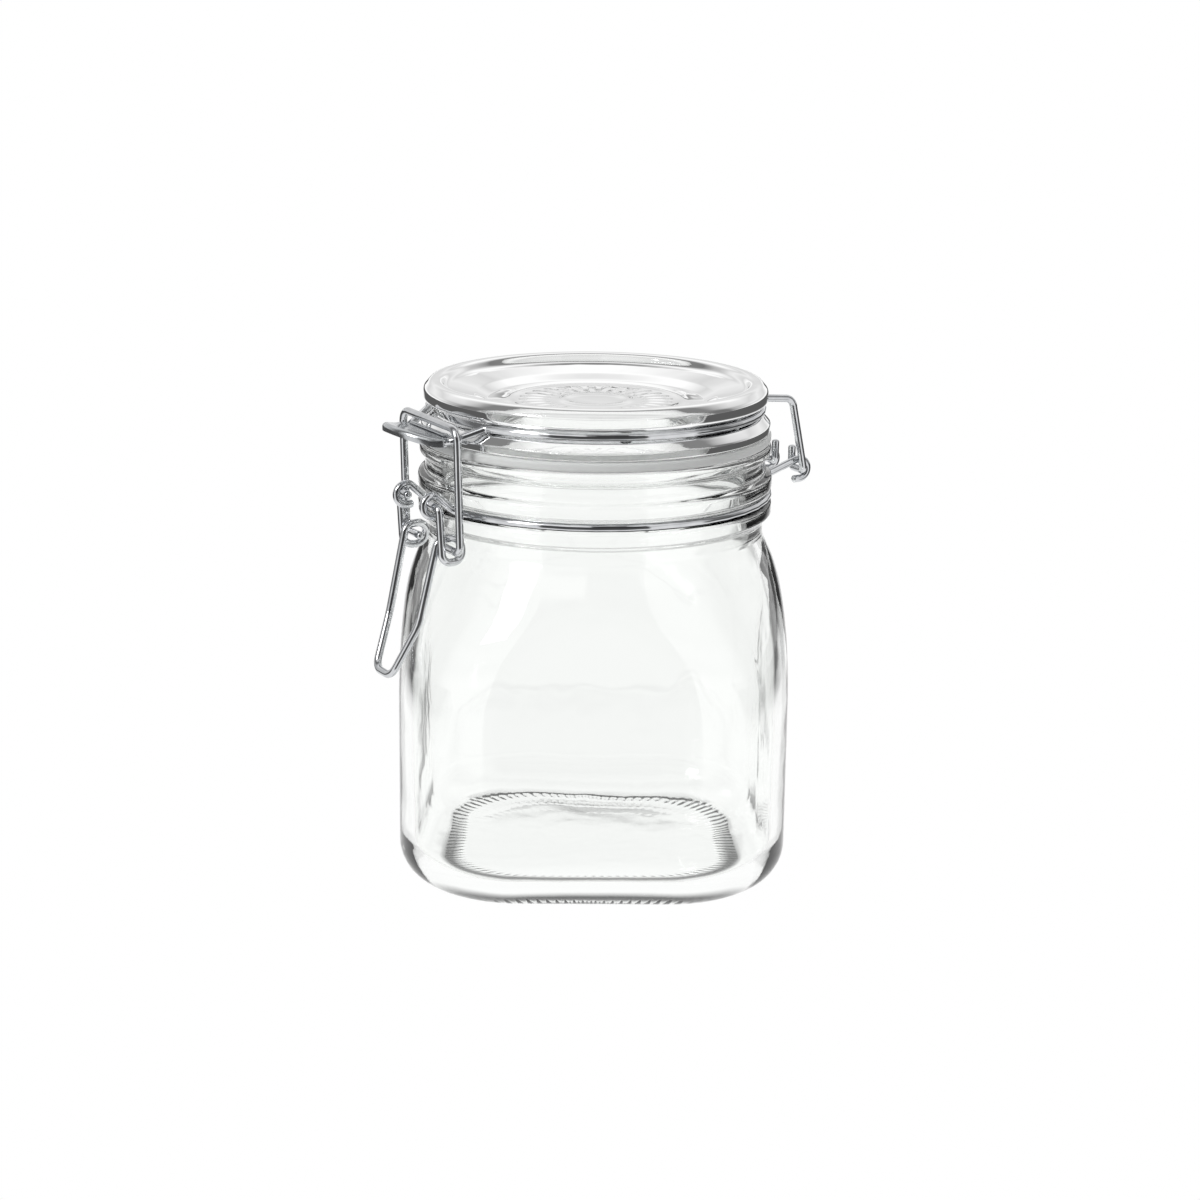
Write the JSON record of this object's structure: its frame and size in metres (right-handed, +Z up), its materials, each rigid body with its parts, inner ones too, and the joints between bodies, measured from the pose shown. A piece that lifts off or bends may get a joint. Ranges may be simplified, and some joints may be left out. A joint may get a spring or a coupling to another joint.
{
  "type": "bail clamp jar",
  "caption": "Clear glass storage jar with rounded-square body, hinged glass lid, rubber gasket and over-centre wire clamp with finger tongue.",
  "frame": {"origin": "jar axis at the table under the base ring", "axes": "+Z up along the jar axis; the clamp is on the -Y side, the hinge on the +Y side, every joint turns about a line along X"},
  "size_m": [0.1248, 0.1359, 0.14],
  "materials": {
    "jar_glass": "pressed clear soda-lime glass",
    "lid_glass": "pressed clear soda-lime glass",
    "gasket_rubber": "translucent pale silicone rubber",
    "bright_wire": "drawn steel wire with bright zinc plating",
    "tongue_steel": "pressed steel sheet with bright zinc plating"
  },
  "bodies": {
    "jar": {"glass_jar": "jar_glass", "neck_band": "bright_wire"},
    "lid": {"glass_lid": "lid_glass", "rubber_gasket": "gasket_rubber", "lid_band": "bright_wire", "lid_tongue": "tongue_steel"},
    "lever": {"lever_handle": "bright_wire"},
    "clamp": {"clamp_loop": "bright_wire"}
  },
  "joints": [
    {"name": "lid_hinge", "type": "hinge", "parent": "jar", "child": "lid", "pos_m": [0, 0.0641, 0.1096], "axis": [-1, 0, 0], "range_deg": [0, 200]},
    {"name": "lever_pivot", "type": "hinge", "parent": "jar", "child": "lever", "pos_m": [0, -0.0554, 0.1106], "axis": [-1, 0, 0], "range_deg": [0, 115]},
    {"name": "clamp_pivot", "type": "hinge", "parent": "lever", "child": "clamp", "pos_m": [0, -0.0513, 0.0984], "axis": [-1, 0, 0], "range_deg": [-116, 0]}
  ],
  "couplings": [
    {"joint": "clamp_pivot", "follows": "lever_pivot", "ratio": -1}
  ]
}
